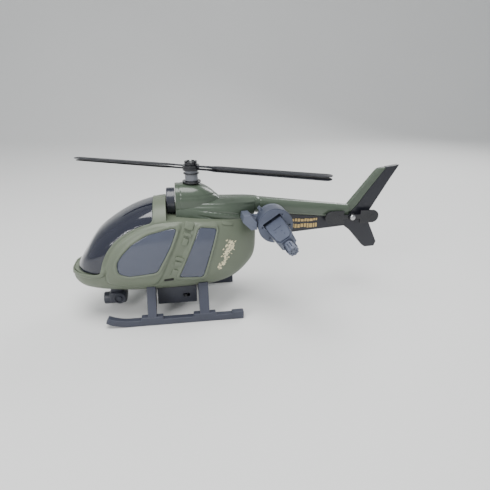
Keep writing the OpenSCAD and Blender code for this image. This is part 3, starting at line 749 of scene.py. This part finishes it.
def closed_loft(name, rows, shift, slot, body, replaces, count=(110, 120)):
    """A loft as a closed piece: count is (stations, points round)."""
    us = even_stations(rows, count[0])
    angles = even_angles(count[1] + 1, 0, 2 * math.pi)[:-1]
    uu, aa = np.meshgrid(us, angles, indexing="ij")
    pts = shift(skin(rows, uu, aa), skin_normal(rows, uu, aa))
    verts, faces = tube_rings([[tuple(p) for p in ring] for ring in pts])
    return tidy(piece(name, verts, faces, slot, body, replaces), 45)


def housing_shift(points, normals):
    x, z = points[..., 0], points[..., 2]
    out = -0.5 * smooth(1 - np.abs(x + 62.5) / 0.9) - 0.5 * smooth(1 - np.abs(z - 126.5) / 1.0)
    moved = points + normals * out[..., None]
    moved[..., 2] = np.maximum(moved[..., 2], deck(moved[..., 0]) + 0.15)
    return moved


cowl = closed_loft("engine_cowl_moulding", COWL, cowl_shift, "olive_gloss", "fuselage",
                   ["engine_cowl"])
rounded(cowl, 0.6, 2, 50)
housing = closed_loft("mast_housing", HOUSING, housing_shift, "olive_gloss", "fuselage", [], (60, 100))
rounded(housing, 0.8, 2, 50)
# The intake: the middle of its ring, and the slats across it
RING_X, RING_Z = -71.6, 118.4
SLATS, SLAT_SPREAD, SLAT_HALF, SLAT_DEPTH, SLAT_T = 9, 9.2, 9.6, 1.4, 0.8
ring_profile = [(8.8, -3.6), (11.6, -4.2), (13.2, -4.2), (13.9, -3.4), (13.9, 3.8), (13.2, 4.2),
                (0, 4.2), (0, -0.6), (6.0, -1.4), (8.6, -0.8)]
ring_parts = [lathe(ring_profile, (RING_X, 0, RING_Z), (1, 0, 0), 72)]
for k in range(SLATS):
    t = math.pi * (k / (SLATS - 1) - 0.5)
    slat_width = 2 * SLAT_HALF * max(0.12, math.cos(t))
    ring_parts.append(block((RING_X - SLAT_DEPTH, 0, RING_Z + SLAT_SPREAD * math.sin(t)),
                            (SLAT_DEPTH, slat_width, SLAT_T), bevel=0.2))
verts, faces = merge(ring_parts)
verts = [(x, y, max(z, deck(x) + 0.15)) for x, y, z in verts]
tidy(piece("intake_ring", verts, faces, "charcoal_plastic", "fuselage", ["intake_grille"],
           mats="rim_dark"), 38)


def boom_shift(points, normals):
    x, y = points[..., 0], points[..., 1]
    out = 0.5 * smooth((19 - x) / 1.2) - 0.35 * smooth(1 - np.abs(x - 108) / 0.9)
    out -= (0.3 * smooth(1 - np.abs(x - 20.6) / 0.9)
            + 0.3 * smooth(1 - np.abs(y) / 0.6) * smooth((x - 22) / 3))
    return points + normals * out[..., None]


closed_loft("tail_boom_moulding", BOOM, boom_shift, "olive_gloss", "fuselage", ["tail_boom"], (120, 72))


def plate(outline, half):
    """A flat plate in the x-z plane, half thickness half."""
    n = len(outline)
    verts = [(p[0], -half, p[1]) for p in outline] + [(p[0], half, p[1]) for p in outline]
    faces = [tuple(range(n)), tuple(range(2 * n - 1, n - 1, -1))]
    faces += [(k, k + n, (k + 1) % n + n, (k + 1) % n) for k in range(n)]
    return verts, faces


FIN_T = 5.6
FIN_STRIP = [[112, 106.5], [119.5, 107], [147.5, 143.5], [151, 147.4], [160, 149],
             [140.9, 122.4], [130.2, 106.2], [124.6, 100.4], [121, 97.6], [112, 98]]
strip = piece("fin_leading_strip", *plate(corner_round(FIN_STRIP, 2.0, 4), FIN_T / 2),
              "olive_gloss", "fuselage")
rounded(tidy(strip, 30), 1.3, 4, 50)
soften("tail_frame", 1.1, mats="frame_black")

# generic gold dashes on the strake, both sides
rng = np.random.default_rng(DASH_SEED)
dashes = []
x = 46.0
while x < 86:
    width = rng.uniform(1.6, 4.0)
    for z, tall in ((86.2, 5.0), (92.8, 3.4)):
        h = tall * rng.uniform(0.75, 1.0)
        dashes.append(block((x + width / 2, -FIN_T / 2 - 0.02, z + rng.uniform(-0.4, 0.4)),
                            (width, 0.3, h), bevel=0.1))
    x += width + rng.uniform(0.7, 1.4)
both_sides("strake_mark", merge(dashes), "charcoal_plastic", mats="decal_gold")

# ---------------------------------------------------------------- main rotor
MAST = Vector((-49.6, 0, 137.0))
LEAN_MAST = math.radians(1)
MAST_TURN = Matrix.Rotation(-LEAN_MAST, 3, "Y")


def on_mast(verts, heading=0.0, pitch=0.0, z=0.0):
    turn = MAST_TURN @ Matrix.Rotation(math.radians(heading), 3, "Z")
    roll = Matrix.Rotation(math.radians(pitch), 3, "X")
    return [tuple(turn @ (roll @ Vector(v) + Vector((0, 0, z))) + MAST) for v in verts]


ROTOR_R, CHORD, BLADE_T = 141.0, 11.0, 1.2
# The neck of a blade: where it starts and ends, and where the full chord is reached
ROOT, NECK_END, FULL_CHORD = 4.7, 18, 30
NECK_CHORD, NECK_T = 5.0, 1.4
# The radius where the round tip begins
TIP = ROTOR_R - CHORD / 2
SECTION_POINTS = 28


def blade_mesh():
    """One blade along +X: lens-shaped sections, a narrow neck and a round tip."""
    rings = []
    stations = [*np.linspace(ROOT, NECK_END, 6), *np.linspace(20, 32, 8),
                *np.linspace(38, TIP - 0.5, 16)]
    stations += list(TIP + CHORD / 2 * np.sin(np.linspace(0.1, 1, 12) * math.pi / 2 * 0.99))
    for r in stations:
        if r < NECK_END:
            chord, thick = NECK_CHORD, NECK_T
        elif r < FULL_CHORD:
            t = float(smooth((r - NECK_END) / (FULL_CHORD - NECK_END)))
            chord, thick = NECK_CHORD + (CHORD - NECK_CHORD) * t, NECK_T + (BLADE_T - NECK_T) * t
        else:
            chord, thick = CHORD, BLADE_T
        if r > TIP:
            q = math.sqrt(max(0.0004, 1 - ((r - TIP) / (CHORD / 2)) ** 2))
            chord, thick = chord * q, thick * q ** 0.35
        ring = []
        for k in range(SECTION_POINTS):
            t = 2 * math.pi * k / SECTION_POINTS
            c, s = math.cos(t), math.sin(t)
            px = chord / 2 * math.copysign(abs(c) ** 0.85, c)
            pz = thick / 2 * math.copysign(abs(s) ** 0.75, s) * (1 - 0.18 * c)
            ring.append((r, px, pz))
        rings.append(ring)
    verts, faces = tube_rings(rings)
    rib = block((23, 0, 0.65), (10, 1.8, 0.6), bevel=0.2)
    return merge([(verts, faces), rib])


blade_verts, blade_faces = blade_mesh()
# The blades lie at the middle of their hub's height; pitch in degrees
HALF_HUB, BLADE_PITCH = 1.2, 3
HUB_Z = {"lower": 13.2 + HALF_HUB, "upper": 15.9 + HALF_HUB}
for number, level, heading in ((1, "lower", -29.5), (2, "lower", 150.5),
                               (3, "upper", -28.5), (4, "upper", 151.5)):
    body = "main_rotor" if level == "lower" else "upper_rotor"
    verts = on_mast(blade_verts, heading, BLADE_PITCH, HUB_Z[level])
    tidy(piece(f"main_blade_{number}", verts, blade_faces, "black_gloss", body,
               [f"rotor_blade_{number}"], mats="blade_black"), 50)

for node in ("lower_rotor_hub", "upper_rotor_hub", "rotor_cap", "mast_bearing"):
    soften(node, 0.45)
soften("rotor_mast", 0.5)
soften("mast_washer", 0.3, segments=2)

# ---------------------------------------------------------------- tail rotor
TAIL_HUB = (124.3, 0, 95.8)
soften("tail_rotor", 0.5)
cap = lathe([(0.01, -12.6), (1.6, -12.5), (2.8, -11.9), (3.2, -11.0), (3.2, -9.4), (0.01, -9.4)],
            TAIL_HUB, (0, 1, 0), 40)
tidy(piece("tail_rotor_cap", *cap, "steel_pin", "tail_rotor_body"), 40)

# ---------------------------------------------------------------- belly, nose pod, gear
POD_BOSS, POD_HOOD = (-131, 0, 15.7), (-141.5, 0, 11.2)


def nose_pod():
    """Rounded sensor body with a hooded lens in front and a ringed boss on each side."""
    boss = [(0.01, 7), (6.3, 8), (6.3, 12.0), (5.9, 12.55), (5.1, 12.55), (4.7, 12.2),
            (4.6, 11.3), (2.4, 11.3), (2.3, 12.1), (1.9, 12.5), (0.01, 12.5)]
    hood = [(0.01, -2), (6.6, -2), (6.6, 5.9), (6.3, 6.6), (5.9, 6.9), (5.5, 6.6),
            (5.3, 6.0), (5.2, 2.8), (2.7, 2.6), (2.7, -0.4), (0.01, -0.4)]
    return merge([
        block((-133, 0, 14.9), (18, 20, 13.2), bevel=3.6, steps=5),
        block((-134, 0, 24.5), (12, 14, 9), bevel=1.2),
        lathe(hood, POD_HOOD, (-1, 0, 0), 48),
        lathe(boss, POD_BOSS, (0, -1, 0), 48),
        lathe(boss, POD_BOSS, (0, 1, 0), 48)])


tidy(piece("nose_pod_moulding", *nose_pod(), "charcoal_plastic", "fuselage", ["nose_pod"]), 38)

for node, width in (("sound_box", 0.9), ("battery_door", 0.3), ("front_strut", 1.2),
                    ("rear_strut", 1.2), ("skid_port", 1.1), ("skid_starboard", 1.1),
                    ("power_switch", 0.3)):
    soften(node, width)

for node in ("pilot_seats", "rear_bench", "instrument_panel"):
    soften(node, 1.6)

# ---------------------------------------------------------------- side gun
for node, width in (("gun_bracket", 0.8), ("gun_drum", 0.7), ("gun_housing", 0.9),
                    ("gun_press_plate", 0.5)):
    soften(node, width)
soften("gun_barrels", 0.25, segments=2)


# ---------------------------------------------------------------- floor, light, camera
def backdrop():
    """A pale floor that sweeps up into a wall far behind the part."""
    profile = [(-4.0, 0.0), (-1.0, 0.0), (1.2, 0.0)]
    profile += [(1.2 + 0.9 * math.sin(t), 0.9 - 0.9 * math.cos(t))
                for t in np.linspace(0.05, math.pi / 2, 24)]
    profile.append((2.1, 5.0))
    verts = [(x, y, z) for y, z in profile for x in (-6.0, 6.0)]
    faces = [(2 * k, 2 * k + 1, 2 * k + 3, 2 * k + 2) for k in range(len(profile) - 1)]
    data = bpy.data.meshes.new("floor")
    data.from_pydata(verts, [], faces)
    for polygon in data.polygons:
        polygon.use_smooth = True
    floor = bpy.data.objects.new("floor", data)
    floor.location.z = -0.0002
    bpy.context.scene.collection.objects.link(floor)
    data.materials.append(material("floor_pale", (228, 228, 226), 0.6, grain=0.0, mottle=0.01, mottle_scale=3,
                                   edge_lighten=0.0))


backdrop()
world = bpy.data.worlds.new("studio")
bpy.context.scene.world = world
world.use_nodes = True
world.node_tree.nodes["Background"].inputs["Color"].default_value = (0.93, 0.96, 1.0, 1)
world.node_tree.nodes["Background"].inputs["Strength"].default_value = 0.65


def area(name, place, target, size, watts):
    light = bpy.data.lights.new(name, "AREA")
    light.shape = "RECTANGLE"
    light.size, light.size_y = size
    light.energy = watts
    obj = bpy.data.objects.new(name, light)
    obj.location = place
    obj.rotation_euler = (Vector(target) - Vector(place)).to_track_quat("-Z", "Y").to_euler()
    bpy.context.scene.collection.objects.link(obj)


area("overhead", (-0.15, -0.15, 1.1), (0, 0, 0.08), (0.9, 0.6), 13)
area("front_left", (-0.9, -0.9, 0.7), (0, 0, 0.08), (0.5, 0.5), 9)
area("back_right", (0.8, 0.8, 0.8), (0, 0, 0.08), (0.6, 0.6), 7)

CAMERA_PLACE = Vector((-0.0666, -0.4120, 0.240))
CAMERA_AIM = Vector((0.160, 0.910, -0.383)).normalized()
ROLL = math.radians(0.9)
camera_data = bpy.data.cameras.new("camera")
# The focal length is given in the same picture points as the frame's width
SENSOR, FRAME_POINTS, FOCAL_POINTS = 36, 490, 413
camera_data.sensor_width = SENSOR
camera_data.lens = SENSOR * FOCAL_POINTS / FRAME_POINTS
camera_data.clip_start = 0.01
camera = bpy.data.objects.new("camera", camera_data)
facing = CAMERA_AIM.to_track_quat("-Z", "Y").to_matrix()
camera.matrix_world = Matrix.Translation(CAMERA_PLACE) @ (facing @ Matrix.Rotation(ROLL, 3, "Z")).to_4x4()
bpy.context.scene.collection.objects.link(camera)
bpy.context.scene.camera = camera
